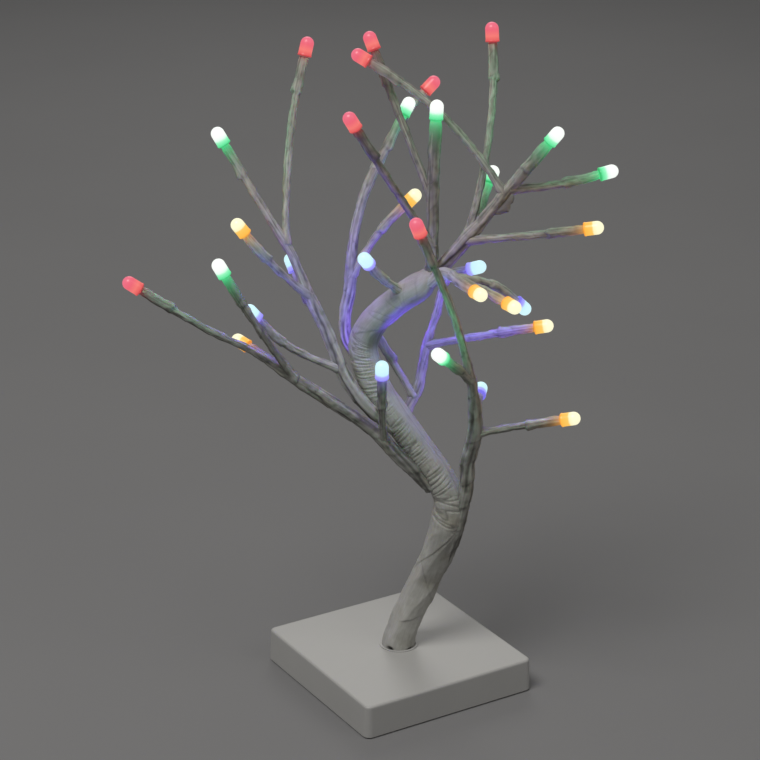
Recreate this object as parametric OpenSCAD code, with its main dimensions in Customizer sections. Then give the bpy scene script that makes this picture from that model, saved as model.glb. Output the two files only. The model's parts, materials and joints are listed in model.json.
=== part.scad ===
// Artificial LED bonsai tree: a paper-wrapped wire tree with coloured lamp caps on a square battery base.
// Millimetres, +Z up. The origin is the middle of the base plate's underside, on the table.

/* [Base] */
// Width of the square base across its rim
base_w = 130; // [129:1:160]
// Height of the base above the table
base_h = 23; // [22:0.5:32]
// Plan radius of the base's corners
base_corner_r = 5; // [4:0.5:8]
// Lean of each side from the rim up to the top
base_draft = 0.7; // [0:0.1:1]
// Size of the rounded edge round the top
base_edge = 1.5; // [0.5:0.25:2]
// Thickness of the side walls at the rim
wall_t = 2.5; // [2:0.1:3]
// Thickness of the top
top_t = 2.5; // [2:0.1:3]
// Shadow gap between the rim and the table
rim_lift = 1; // [0.5:0.1:1.5]
// Width of the raised lip round the trunk's hole
lip_w = 1.6; // [1:0.2:3]
// Height of the raised lip
lip_h = 0.6; // [0.3:0.1:1]
// Thickness of the base plate
plate_t = 2.5; // [2.4:0.1:3]
// Gap between pieces that fit together
fit_gap = 0.3; // [0.2:0.05:0.4]
// Diameter of the screw bosses
boss_d = 8; // [7:0.5:10]
// Distance of a corner screw from the inner walls
boss_inset = 5; // [5:0.5:8]
// Shank diameter of the plate screws
plate_screw_d = 2.6; // [2:0.1:3]
// Head diameter of the plate screws
plate_screw_head_d = 5; // [4:0.1:6]
// Length of the plate screws under the head
plate_screw_l = 9; // [7:0.5:12]

/* [Battery bay] */
// Diameter of a battery cell
cell_d = 14.2; // [13.5:0.1:14.5]
// Length of a battery cell without its nub
cell_l = 49; // [48:0.5:50]
// Diameter of the nub
nub_d = 5.2; // [4.5:0.1:5.5]
// Length of the nub
nub_l = 1.2; // [1:0.1:1.5]
// Number of cells side by side
cell_count = 3; // [2:1:3]
// Wall thickness of the bay
bay_t = 1.2; // [1:0.1:1.5]
// Length of a contact spring
spring_l = 5; // [4:0.5:6]
// Wire diameter of a contact spring
spring_wire_d = 0.7; // [0.5:0.05:0.8]
// Turns of a contact spring
spring_turns = 3.5; // [3:0.5:4]
// Thickness of a contact plate
contact_t = 0.5; // [0.4:0.05:0.6]
// Width of a contact plate
contact_w = 10; // [8:0.5:11]
// Thickness of the battery door
door_t = 2; // [1.6:0.1:2]
// Recess of the door above the plate's underside
door_lift = 0.3; // [0.2:0.05:0.4]
// Diameter of the door's hinge pins
door_pin_d = 1.5; // [1.2:0.1:1.6]
// Length of the door's hinge pins
door_pin_l = 1; // [0.8:0.1:1.1]
// Clearance round a hinge pin
pin_gap = 0.06; // [0.04:0.01:0.08]

/* [Switch and board] */
// Length of the circuit board
board_l = 46; // [40:1:60]
// Width of the circuit board
board_w = 20; // [18:1:24]
// Thickness of the circuit board
board_t = 1.6; // [1:0.1:2]
// Height of the posts under the board
board_post_h = 3; // [2:0.5:4]
// Depth of the slide switch's case
switch_d = 6.5; // [6:0.5:8]
// Height of the slide switch's case
switch_h = 8; // [7:0.5:9]
// Wall of the slide switch's case
switch_wall = 1; // [0.8:0.1:1.2]
// Travel of the switch knob
switch_travel = 6; // [4:0.5:8]
// Width of the switch knob
knob_w = 6; // [5:0.5:8]
// Height of the switch knob
knob_h = 4; // [3:0.5:4.5]
// How far the knob stands out of the rear wall
knob_out = 1.8; // [1:0.2:2.5]
// Diameter of the leads inside the base
lead_d = 1.6; // [1:0.1:1.8]

/* [Trunk] */
// Turn of the whole tree on its base
tree_turn = -32; // [-60:1:60]
// Radius of the trunk's paper wrap at the root
trunk_root_r = 11; // [10:0.25:11.5]
// Radius of the trunk's paper wrap at the crown
trunk_top_r = 9; // [8.5:0.25:9.5]
// Radius of the wire bundle in the trunk
trunk_core_r = 4.5; // [3.5:0.25:5]
// Depth of the trunk's foot below the base's top
trunk_foot = 11; // [9:0.5:11]
// Wall of the clamp that holds the trunk's foot
clamp_wall = 3; // [2.5:0.1:3.2]
// Distance of a clamp screw from the trunk's axis
clamp_screw_x = 19.5; // [19.5:0.5:24]
// Shank diameter of the clamp screws
clamp_screw_d = 2.2; // [2:0.1:2.6]
// Head diameter of the clamp screws
clamp_screw_head_d = 4.4; // [4:0.1:5]
// Thickness of the clamp's ears
clamp_ear_t = 3; // [2.5:0.1:4]

/* [Branches] */
// Radius of a thin twig
twig_r = 2.4; // [2.1:0.1:2.6]
// Radius of the wrapped lamp holder at a twig's end
holder_r = 3.2; // [2.9:0.1:3.4]
// Length of the wrapped lamp holder
holder_l = 23; // [18:1:25]
// How far a lamp holder goes straight on beyond its twig's route
holder_more = 4; // [2:0.5:5]
// Share of a branch's radius that its wire takes up
wire_share = 0.4; // [0.3:0.02:0.45]
// Clearance round the wire inside its paper wrap
wire_gap = 0.25; // [0.2:0.05:0.3]
// Gap between a branch's root and what carries it
root_gap = 0.3; // [0.25:0.05:0.5]

/* [Lamps] */
// Diameter of a lamp cap
cap_d = 8.6; // [8.3:0.1:9]
// Length of a lamp cap
cap_l = 12.6; // [12:0.1:14]
// Height of a cap's dome
cap_dome_h = 4.3; // [3.8:0.1:4.6]
// Length of a cap's narrower skirt
cap_skirt_l = 1.8; // [1.2:0.1:3]
// How much narrower the skirt's radius is
cap_skirt_in = 0.4; // [0.2:0.05:0.5]
// Diameter of an LED's body
led_d = 5; // [4.8:0.05:5.2]
// Length of an LED
led_l = 8.6; // [8:0.1:9]
// Rim of an LED's foot beyond its body
led_rim = 0.4; // [0.3:0.05:0.5]

/* [Hidden] */
$fn = 48;
hair = 0.01;

// Levels inside the base
half = base_w / 2;
inner_half = half - wall_t;
inner_corner_r = base_corner_r - 2;
plate_half = inner_half - fit_gap;
top_under = base_h - top_t;
boss_at = inner_half - boss_inset;

// Battery bay, along the base's front side
bay_l = cell_l + nub_l + spring_l + 2 * contact_t + 3 * fit_gap;
bay_w = cell_count * (cell_d + fit_gap) + fit_gap;
bay_y0 = -plate_half + fit_gap + bay_t;
bay_y1 = bay_y0 + bay_w;
door_axis_z = door_lift + door_t / 2;
door_axis_x = -bay_l / 2 + fit_gap + door_t / 2;
cell_z = door_lift + door_t + fit_gap + cell_d / 2;
bay_top = cell_z + cell_d / 2 + fit_gap;
scoop_r = 6;
scoop_depth = 1.2;

// Board and switch, along the rear wall
board_z = plate_t + board_post_h;
board_top = board_z + board_t;
board_wall_gap = 2;
board_y1 = inner_half - board_wall_gap;
board_y0 = board_y1 - board_w;
board_post_r = 3;
board_post_x = board_l / 2 - board_post_r - 1;
knob_z = board_top + switch_h / 2;
shoe_more = 4;
shoe_w = knob_w + shoe_more;
shoe_d = 2.5;
shoe_h = switch_h - 2 * switch_wall - 2 * fit_gap;
switch_in_l = shoe_w + switch_travel + 2 * fit_gap;
switch_l = switch_in_l + 2 * switch_wall;
slot_w = knob_w + switch_travel + 2 * fit_gap;
slot_h = knob_h + 2 * fit_gap;
switch_y1 = inner_half - fit_gap;

// Clamp that holds the trunk's foot under the top
trunk_fit = 0.4;
clamp_bore_r = trunk_root_r + trunk_fit;
clamp_r = clamp_bore_r + clamp_wall;
clamp_floor_t = 2;
// The trunk stands in the middle of the base, or further back where the bay needs the room
trunk_y = max(0, bay_y1 + bay_t + fit_gap + clamp_r);
clamp_floor_z = base_h - trunk_foot - fit_gap;
ear_rim = 1.2;
ear_r = clamp_screw_head_d / 2 + ear_rim;
clamp_boss_h = 3;
ear_z1 = top_under - clamp_boss_h;
ear_z0 = ear_z1 - clamp_ear_t;
clamp_screw_bite = 2.6;
clamp_screw_l = clamp_ear_t + clamp_screw_bite;
clamp_head_h = 1.6;

// How the tree's tubes are made: rings between two route points, sides, and the spacing of a twig's rings
trunk_steps = 2;
trunk_sides = 16;
leader_steps = 2;
branch_sides = 8;
twig_pitch = 16;
// Step along a twig's run in the search for its foot
foot_step = 0.003;
// Stations along a leading twig over which its bundle thins after a fork
fork_fade = 1;
// Share of a twig's radius that its root has
twig_root_share = 0.7;
// Least share of a twig that is bare of its lamp holder
twig_bare_share = 0.25;
// Where the rings of a lamp holder stand along it
holder_rings = [0.12, 0.55, 1];
// Share of its radius that the trunk's last ring keeps
trunk_end_share = 0.8;
// Gap between the trunk's wires and its paper wrap
core_gap = 0.5;
// How much larger a bough's root ball is than its root
ball_more = 0.3;

// Routes below are [right, back, up] in the tree's own frame, from the trunk's root on the base's top
trunk_route = [
    [0, 0, -trunk_foot], [0, 0, 0], [2, 0, 10], [9, 0, 30], [22, -2, 62], [30, -4, 93], [30, -4, 115],
    [6, -1, 152], [-15, 3, 182], [-25, 6, 208], [-21, 5, 226], [-6, 2, 243], [12, 0, 257], [20, 0, 266]
];
trunk_last = len(trunk_route) - 1;
trunk_end = trunk_route[trunk_last];
trunk_end_dir = unit(trunk_end - trunk_route[trunk_last - 1]);

// Each bough: name, root radius, pivot of its bend, points of its leading twig after the pivot,
// colour of the leading lamp, and its other twigs as [colour, station on the leader, bend, end]
right_low = ["right_low", 5, side_seat(6, [12, -5, 0], 5),
    [[43, -14, 140], [47, -20, 165], [45, -28, 193], [41, -36, 214], [30, -52, 257], [11, -67, 308]], "red",
    [["green", 3.6, [34, -45, 217], [27, -55, 226]],
     ["blue", 2.5, [47, -13, 177], [49, -4, 180]],
     ["amber", 1.9, [77, -25, 171], [97, -32, 177]]]];
left_low = ["left_low", 5, side_seat(6.9, [-20, -18, -10], 5),
    [[-19, -13, 162], [-43, -17, 181], [-65, -20, 197], [-95, -25, 220], [-124, -28, 236], [-160, -31, 260]],
    "red",
    [["green", 3.1, [-90, -38, 238], [-108, -44, 273]],
     ["amber", 2.8, [-80, 0, 201], [-96, 8, 208]],
     ["blue", 0.6, [-13, -27, 180], [-13, -31, 201]]]];
left_mid = ["left_mid", 4.6, side_seat(8.1, [-20, -15, -4], 4.6),
    [[-38, -2, 197], [-48, 5, 221], [-60, 11, 244], [-71, 15, 270], [-84, 17, 292], [-111, 16, 339]], "green",
    [["red", 4.35, [-77, 37, 338], [-65, 50, 387]],
     ["amber", 3, [-83, -1, 267], [-97, -4, 287]],
     ["blue", 1.1, [-74, -6, 212], [-89, -9, 232]],
     ["blue", 2.5, [-64, 23, 240], [-68, 27, 251]]]];
bend_two = ["bend_two", 3.9, side_seat(9.5, [-20, 9, 1], 3.9),
    [[-37, 16, 231], [-34, 21, 248], [-32, 27, 277], [-25, 36, 306], [-12, 45, 332], [-3, 52, 349]], "green",
    [["amber", 2.2, [-19, 23, 283], [-2, 27, 298]],
     ["red", 4.5, [-6, 63, 346], [10, 68, 361]]]];
crown_left = ["crown_left", 3.8, end_seat(6.5, 0, 3.8),
    [[18, 1, 287], [18, 4, 308], [18, 6, 330], [19, 8, 358]], "green",
    [["red", 0.7, [-9, -12, 327], [-28, -19, 360]],
     ["red", 2.1, [-2, 32, 354], [-18, 44, 393]]]];
crown_right = ["crown_right", 4.8, end_seat(-2.8, 4.5, 4.8),
    [[38, 5, 284], [49, 6, 297], [64, 8, 316], [75, 7, 330], [87, 4, 346]], "green",
    [["green", 3.1, [96, 16, 317], [119, 20, 323]],
     ["red", 2.9, [34, 20, 362], [-19, 29, 391]],
     ["red", 1.2, [59, 38, 346], [55, 47, 398]],
     ["green", 2, [48, 33, 296], [53, 38, 308]],
     ["amber", 1.05, [79, -5, 291], [108, -10, 297]]]];
crown_front = ["crown_front", 3.4, end_seat(-2.3, -6.3, 3.4),
    [[37, -14, 264], [52, -17, 258], [61, -26, 256]], "amber",
    [["amber", 0.5, [35, -25, 266], [41, -34, 266]],
     ["blue", 0.8, [57, -3, 262], [69, 1, 248]]]];
back = ["back", 3.7, side_seat(7.35, [6, 14, 2], 3.7),
    [[11, 18, 180], [16, 25, 206], [22, 28, 226], [25, 27, 242], [29, 24, 254], [38, 20, 259]], "blue",
    [["amber", 2, [53, 21, 215], [81, 17, 221]],
     ["blue", 0.6, [-6, 21, 196], [-16, 24, 212]]]];
BOUGHS = [right_low, left_low, left_mid, bend_two, crown_left, crown_right, crown_front, back];

// The short twig on the upper trunk: colour, station on the trunk, bend and end
trunk_twig = ["blue", 11.4, [-16, -15, 267], [-20, -24, 276]];

COLOURS = ["red", "green", "amber", "blue"];
CAP_TINTS = [[1, 0.36, 0.42], [0.3, 0.95, 0.6], [1, 0.72, 0.25], [0.5, 0.62, 1]];
paper_white = [0.84, 0.84, 0.82];
CAP_SETS = [for (b = BOUGHS) for (c = COLOURS) if (len(lamps_of(b, c)) > 0) [b, c]];

// Curves
function unit(v) = v / norm(v);
function catmull(p, i, t) =
    let (a = p[max(i - 1, 0)], b = p[i], c = p[i + 1], d = p[min(i + 2, len(p) - 1)])
    b + 0.5 * t * (c - a + t * (2 * a - 5 * b + 4 * c - d + t * (3 * (b - c) + d - a)));
function along(p, s) = let (i = min(floor(s), len(p) - 2)) catmull(p, i, s - i);
function smooth_route(p, steps) = [for (k = [0 : (len(p) - 1) * steps]) along(p, k / steps)];
function bezier(a, b, c, t) = (1 - t) * (1 - t) * a + 2 * t * (1 - t) * b + t * t * c;
function tangents(p) =
    [for (i = [0 : len(p) - 1]) unit(p[min(i + 1, len(p) - 1)] - p[max(i - 1, 0)])];
function square_to(v, t) = unit(v - (v * t) * t);
function any_side(t) = square_to(abs(t[1]) < 0.8 ? [0, 1, 0] : [1, 0, 0], t);
function carried_sides(t) =
    [for (i = 0, s = any_side(t[0]); i < len(t); i = i + 1, s = square_to(s, t[min(i, len(t) - 1)])) s];
function left_over(p) =
    let (n = len(p) - 1)
    [for (i = [0 : n]) i == n ? 0 : span_sum([for (k = [i : n - 1]) norm(p[k + 1] - p[k])])];
function span_sum(v) = v * [for (x = v) 1];
function share_on(q, a, b) = max(0, min(1, (q - a) * (b - a) / ((b - a) * (b - a))));
// Nearest point of a tube's route, with the tube's radius there
function nearest(q, p, radii) =
    let (n = len(p) - 2, f = [for (i = [0 : n]) share_on(q, p[i], p[i + 1])],
         c = [for (i = [0 : n]) p[i] + f[i] * (p[i + 1] - p[i])],
         d = [for (x = c) norm(q - x)], least = min(d))
    [for (i = [0 : n]) if (d[i] == least) [c[i], radii[i] + f[i] * (radii[i + 1] - radii[i])]][0];
function carried_on(p) = let (n = len(p) - 1) concat(p, [p[n] + holder_more * unit(p[n] - p[n - 1])]);

// Tubes: rings of points along a route, and the faces between them
function ring_points(p, radii, sides) =
    let (t = tangents(p), s = carried_sides(t))
    [for (i = [0 : len(p) - 1]) for (k = [0 : sides - 1])
        p[i] + radii[i] * (cos(360 * k / sides) * s[i] + sin(360 * k / sides) * cross(t[i], s[i]))];
function side_faces(rings, sides, first, flip) =
    [for (i = [0 : rings - 2]) for (k = [0 : sides - 1]) for (half_quad = [0, 1])
        let (a = first + i * sides + k, b = first + i * sides + (k + 1) % sides, c = b + sides, d = a + sides,
             f = half_quad == 0 ? [a, d, b] : [b, d, c])
        flip ? [f[0], f[2], f[1]] : f];
function end_ring_faces(outer, inner, sides, flip) =
    [for (k = [0 : sides - 1]) for (half_quad = [0, 1])
        let (a = outer + k, b = outer + (k + 1) % sides, c = inner + k, d = inner + (k + 1) % sides,
             f = half_quad == 0 ? [a, b, c] : [b, d, c])
        flip ? [f[0], f[2], f[1]] : f];

module rod(p, radii, sides) {
    rings = len(p);
    polyhedron(
        ring_points(p, radii, sides),
        concat(
            side_faces(rings, sides, 0, false),
            [[for (k = [0 : sides - 1]) k], [for (k = [sides - 1 : -1 : 0]) (rings - 1) * sides + k]]));
}

// A tube whose bore starts after a number of solid rings
module sleeve(p, radii, bores, sides, solid_rings = 0) {
    rings = len(p);
    inner = rings * sides;
    skipped = solid_rings * sides;
    bore_points = ring_points(p, bores, sides);
    polyhedron(
        concat(ring_points(p, radii, sides), [for (i = [skipped : inner - 1]) bore_points[i]]),
        concat(
            side_faces(rings, sides, 0, false),
            side_faces(rings - solid_rings, sides, inner, true),
            solid_rings == 0 ? end_ring_faces(0, inner, sides, false)
                : [[for (k = [0 : sides - 1]) k], [for (k = [sides - 1 : -1 : 0]) inner + k]],
            end_ring_faces(inner - sides, 2 * inner - skipped - sides, sides, true)));
}

module in_tree() {
    translate([0, trunk_y, base_h]) rotate([0, 0, tree_turn]) children();
}

module pointing(place, dir) {
    translate(place) rotate([0, acos(dir[2]), atan2(dir[1], dir[0])]) children();
}

// Trunk
trunk_path = smooth_route(trunk_route, trunk_steps);
function trunk_r_at(s) = trunk_root_r + (trunk_top_r - trunk_root_r) * s / trunk_last;
trunk_radii = [for (i = [0 : len(trunk_path) - 1])
    trunk_r_at(i / trunk_steps) * (i == len(trunk_path) - 1 ? trunk_end_share : 1)];
trunk_bores = [for (p = trunk_path) trunk_core_r + core_gap];

// Roots: the pivot of each bough, where its ball is just clear of the trunk's side or end
function side_seat(s, dir, r) =
    along(trunk_route, s) + unit(dir) * (trunk_r_at(s) + r + ball_more + root_gap);
function end_seat(up, behind, r) =
    trunk_end + trunk_end_dir * (r + ball_more + root_gap)
    + up * [-trunk_end_dir[2], 0, trunk_end_dir[0]] + [0, behind, 0];

// Leading twig of a bough: a bundle that loses a strand after each fork
function leader_path(b) = carried_on(smooth_route(concat([b[2]], b[3]), leader_steps));
function bundled(b, s) =
    span_sum([for (w = b[5]) max(0, min(1, 1 + (w[1] - s) / fork_fade))]) / len(b[5]);
function leader_radii(b) =
    let (rest = left_over(leader_path(b)))
    [for (i = [0 : len(rest) - 1])
        rest[i] < holder_l ? holder_r : twig_r + (b[1] - twig_r) * bundled(b, i / leader_steps)];

// Side twigs: a bent run from a station on a carrying route, which starts clear of what carries it
function bent_length(a, w) = (norm(w[2] - a) + norm(w[3] - w[2]));
function twig_foot(a, w, carrier, radii, t = foot_step) =
    let (q = bezier(a, w[2], w[3], t), on = nearest(q, carrier, radii),
         lean = unit(bezier(a, w[2], w[3], t + foot_step) - q) * unit(on[0] - q))
    norm(on[0] - q) > on[1] + twig_root_share * twig_r * sqrt(1 - lean * lean) + root_gap
        ? t : twig_foot(a, w, carrier, radii, t + foot_step);
function twig_stations(a, w, t0) =
    let (l = bent_length(a, w), th = max(1 - (holder_l - holder_more) / l, t0 + twig_bare_share * (1 - t0)),
         n = max(1, ceil((th - t0) * l / twig_pitch)))
    concat([for (i = [0 : n]) t0 + (th - t0) * i / n], [for (f = holder_rings) th + (1 - th) * f]);
function twig_path(a, w, stations) = carried_on([for (t = stations) bezier(a, w[2], w[3], t)]);
function twig_radii(stations) =
    let (n = len(stations))
    [for (i = [0 : n]) i == 0 ? twig_root_share * twig_r : i < n - len(holder_rings) ? twig_r : holder_r];
function wires(radii) = wire_share * radii;
function bores(radii) = [for (r = wires(radii)) r + wire_gap];

// A side twig as [path, radii]
function twig_run(a, w, carrier, radii) =
    let (s = twig_stations(a, w, twig_foot(a, w, carrier, radii)))
    [twig_path(a, w, s), twig_radii(s)];
function bough_twig_run(b, w) =
    let (path = leader_path(b))
    twig_run(along(path, w[1] * leader_steps), w, path, leader_radii(b));
trunk_twig_run = twig_run(along(trunk_route, trunk_twig[1]), trunk_twig, trunk_path, trunk_radii);

// Lamps: [end, direction] of every twig of a bough that has a colour
function lamp_at(p) = let (n = len(p) - 1) [p[n], unit(p[n] - p[n - 1])];
function lamps_of(b, colour) = concat(
    b[4] == colour ? [lamp_at(leader_path(b))] : [],
    [for (w = b[5]) if (w[0] == colour) lamp_at(bough_twig_run(b, w)[0])]);

led_rim_h = 1;
lamp_gap = 0.4;
led_bore_r = led_d / 2 + led_rim + fit_gap;
bore_chamfer = 0.4 * led_bore_r;
module led() {
    r = led_d / 2;
    rotate_extrude() polygon(concat(
        [[0, 0], [r + led_rim, 0], [r + led_rim, led_rim_h], [r, led_rim_h]],
        [for (a = [0 : 15 : 75]) [r * cos(a), led_l - r + r * sin(a)]],
        [[0, led_l]]));
}

module lamp_cap() {
    r = cap_d / 2;
    skirt_r = r - cap_skirt_in;
    bore_l = lamp_gap + led_l + fit_gap;
    rotate_extrude() polygon(concat(
        [[led_bore_r, 0], [skirt_r, 0], [skirt_r, cap_skirt_l - cap_skirt_in], [r, cap_skirt_l]],
        [for (a = [0 : 15 : 75]) [r * cos(a), cap_l - cap_dome_h + cap_dome_h * sin(a)]],
        [[0, cap_l], [0, bore_l], [led_bore_r - bore_chamfer, bore_l], [led_bore_r, bore_l - bore_chamfer]]));
}

module lamp_caps(lamps) {
    for (l = lamps) in_tree() pointing(l[0] + l[1] * fit_gap, l[1]) lamp_cap();
}

module leds(lamps) {
    for (l = lamps) in_tree() pointing(l[0] + l[1] * lamp_gap, l[1]) led();
}

// Base housing
module rounded_slab(side, r, h) {
    linear_extrude(h) union() {
        square([side, side - 2 * r], center = true);
        square([side - 2 * r, side], center = true);
        for (x = [-1, 1], y = [-1, 1]) translate([x, y] * (side / 2 - r)) circle(r);
    }
}

module corner_discs(inset, z) {
    at = half - base_corner_r;
    for (x = [-1, 1], y = [-1, 1])
        translate([x * at, y * at, z]) cylinder(r = base_corner_r - inset, h = hair, $fn = 32);
}

module housing_block() {
    hull() {
        corner_discs(0, rim_lift);
        for (a = [0 : 30 : 90])
            corner_discs(base_draft + base_edge * (1 - cos(a)), base_h - hair - base_edge * (1 - sin(a)));
    }
}

module at_corners() {
    for (x = [-1, 1], y = [-1, 1]) translate([x * boss_at, y * boss_at, 0]) children();
}

module at_clamp_screws() {
    for (x = [-1, 1]) translate([x * clamp_screw_x, trunk_y, 0]) children();
}

screw_gap = 0.05;
hole_spare = 0.4;
module base_housing() {
    color("white") difference() {
        union() {
            difference() {
                housing_block();
                translate([0, 0, rim_lift - 1])
                    rounded_slab(2 * inner_half, inner_corner_r, top_under - rim_lift + 1);
            }
            translate([0, trunk_y, base_h - hair]) cylinder(r = clamp_bore_r + lip_w, h = lip_h + hair);
            at_corners() translate([0, 0, plate_t]) cylinder(d = boss_d, h = top_under - plate_t + hair);
            at_clamp_screws() translate([0, 0, ear_z1]) cylinder(r = ear_r, h = top_under - ear_z1 + hair);
        }
        translate([0, trunk_y, top_under - 1]) cylinder(r = clamp_bore_r, h = top_t + lip_h + 2);
        at_corners() cylinder(d = plate_screw_d + 2 * screw_gap, h = plate_screw_l + hole_spare);
        at_clamp_screws() translate([0, 0, ear_z1 - 1])
            cylinder(d = clamp_screw_d + 2 * screw_gap, h = clamp_screw_bite + 1 + hole_spare);
        translate([-slot_w / 2, inner_half - 1, knob_z - slot_h / 2]) cube([slot_w, wall_t + 2, slot_h]);
    }
}

// Base plate with the bay's walls, the board's posts and the hinge sockets
module bay_box(more, z0, z1) {
    translate([-bay_l / 2 - more, bay_y0 - more, z0]) cube([bay_l + 2 * more, bay_w + 2 * more, z1 - z0]);
}

module base_plate() {
    sink = (plate_screw_head_d - plate_screw_d) / 2;
    color("white") difference() {
        union() {
            rounded_slab(2 * plate_half, inner_corner_r, plate_t);
            bay_box(bay_t, plate_t - hair, bay_top + bay_t);
            for (x = [-1, 1]) translate([x * board_post_x, (board_y0 + board_y1) / 2, plate_t - hair])
                cylinder(r = board_post_r, h = board_post_h + hair);
        }
        bay_box(0, -1, bay_top);
        for (side = [-1, 1]) translate([side * (bay_l / 2 + bay_t / 2), 0, cell_z])
            for (i = [0 : cell_count - 1]) translate([0, cell_y(i), 0])
                cube([bay_t + 1, tab_w + 2 * fit_gap, contact_t + 2 * fit_gap], center = true);
        translate([door_axis_x, bay_y0 - door_pin_l - fit_gap, door_axis_z]) rotate([-90, 0, 0])
            cylinder(d = door_pin_d + 2 * pin_gap, h = bay_w + 2 * door_pin_l + 2 * fit_gap);
        translate([bay_l / 2, (bay_y0 + bay_y1) / 2, -1]) cylinder(r = scoop_r, h = scoop_depth + 1);
        at_corners() {
            translate([0, 0, -1]) cylinder(d = plate_screw_d + 2 * fit_gap, h = plate_t + 2);
            translate([0, 0, -hair])
                cylinder(
                    d1 = plate_screw_head_d + 2 * fit_gap, d2 = plate_screw_d + 2 * fit_gap,
                    h = sink + 2 * fit_gap);
        }
    }
}

module plate_screws() {
    sink = (plate_screw_head_d - plate_screw_d) / 2;
    color("silver") at_corners() rotate_extrude() polygon([
        [0, fit_gap], [plate_screw_head_d / 2, fit_gap], [plate_screw_d / 2, fit_gap + sink],
        [plate_screw_d / 2, plate_screw_l], [0, plate_screw_l]]);
}

module battery_door() {
    door_l = bay_l / 2 - fit_gap - door_axis_x;
    color("white") translate([door_axis_x, bay_y0 + fit_gap, door_axis_z]) union() {
        translate([0, 0, -door_t / 2]) cube([door_l, bay_w - 2 * fit_gap, door_t]);
        rotate([-90, 0, 0]) cylinder(d = door_t, h = bay_w - 2 * fit_gap);
        translate([0, -fit_gap - door_pin_l, 0]) rotate([-90, 0, 0])
            cylinder(d = door_pin_d, h = bay_w + 2 * door_pin_l);
    }
}

// Cells lie along X, each the other way round from its neighbour
function cell_y(i) = bay_y0 + fit_gap + cell_d / 2 + i * (cell_d + fit_gap);
cell_gap = fit_gap;
tab_w = 3;
module at_cells() {
    for (i = [0 : cell_count - 1])
        translate([0, cell_y(i), cell_z]) rotate([0, 0, i % 2 == 0 ? 0 : 180]) children();
}

module battery_cells() {
    color("gold") at_cells() translate([bay_l / 2 - contact_t - cell_gap - nub_l - cell_l, 0, 0])
        rotate([0, 90, 0]) rotate_extrude() polygon([
            [0, 0], [cell_d / 2, 0], [cell_d / 2, cell_l], [nub_d / 2, cell_l],
            [nub_d / 2, cell_l + nub_l], [0, cell_l + nub_l]]);
}

spring_wide_r = 4.4;
spring_slim_r = 2.6;
spring_steps = 8;
spring_path = [for (k = [0 : spring_steps * spring_turns])
    let (f = k / (spring_steps * spring_turns), r = spring_wide_r + (spring_slim_r - spring_wide_r) * f,
         a = 360 * k / spring_steps)
    [spring_wire_d / 2 + f * (spring_l - spring_wire_d), r * cos(a), r * sin(a)]];
module battery_springs() {
    color("silver") at_cells() translate([-bay_l / 2 + contact_t + cell_gap, 0, 0])
        rod(spring_path, [for (p = spring_path) spring_wire_d / 2], lead_sides);
}

module battery_contacts() {
    color("silver") at_cells() for (side = [-1, 1]) {
        x = side * (bay_l / 2 - contact_t / 2);
        union() {
            translate([x, 0, 0]) cube([contact_t, contact_w, contact_w], center = true);
            translate([side * (bay_l / 2 + bay_t / 2), 0, 0])
                cube([bay_t + 2 * contact_t, tab_w, contact_t], center = true);
        }
    }
}

module circuit_board() {
    color("darkgreen") translate([-board_l / 2, board_y0, board_z]) cube([board_l, board_w, board_t]);
}

// Driver chip, can capacitor and three resistors, placed from the middle of the board's front edge
chip = [8, 5, 1.6];
chip_at = [-10, 3, 0];
can_d = 5;
can_h = 7;
can_at = [11.5, 5, 0];
resistor = [1.6, 3.2, 0.6];
resistor_at = [1, 4, 0];
resistor_pitch = 2.5;
module board_parts() {
    color("dimgray") translate([0, board_y0, board_top]) {
        translate(chip_at) cube(chip);
        translate(can_at) cylinder(d = can_d, h = can_h);
        for (i = [0 : 2]) translate(resistor_at + [resistor_pitch * i, 0, 0]) cube(resistor);
    }
}

module switch_case() {
    color("silver") difference() {
        translate([-switch_l / 2, switch_y1 - switch_d, board_top]) cube([switch_l, switch_d, switch_h]);
        translate([-switch_in_l / 2, switch_y1 - switch_d + switch_wall, board_top + switch_wall])
            cube([switch_in_l, switch_d - 2 * switch_wall, switch_h - 2 * switch_wall]);
        translate([-slot_w / 2, switch_y1 - switch_wall - 1, knob_z - slot_h / 2])
            cube([slot_w, switch_wall + 2, slot_h]);
    }
}

// The knob stands at the end of its travel that lights the tree
module switch_knob() {
    shoe_y = switch_y1 - switch_wall - fit_gap - shoe_d;
    color("black") translate([-switch_travel / 2, 0, knob_z]) union() {
        translate([-shoe_w / 2, shoe_y, -shoe_h / 2]) cube([shoe_w, shoe_d, shoe_h]);
        translate([-knob_w / 2, shoe_y + hair, -knob_h / 2]) cube([knob_w, half + knob_out - shoe_y, knob_h]);
    }
}

// Leads: one from each end of the bay to the board, and a pair from the trunk's wires to the board
lead_sides = 6;
lead_steps = 3;
core_lead_x = 2;
core_lead_z = clamp_floor_z - clamp_floor_t - 2 * fit_gap;
tab_end_x = bay_l / 2 + bay_t + contact_t / 2;
lead_end_z = board_top + lead_d / 2 + fit_gap;
module lead(route) {
    path = smooth_route(route, lead_steps);
    rod(path, [for (p = path) lead_d / 2], lead_sides);
}

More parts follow.
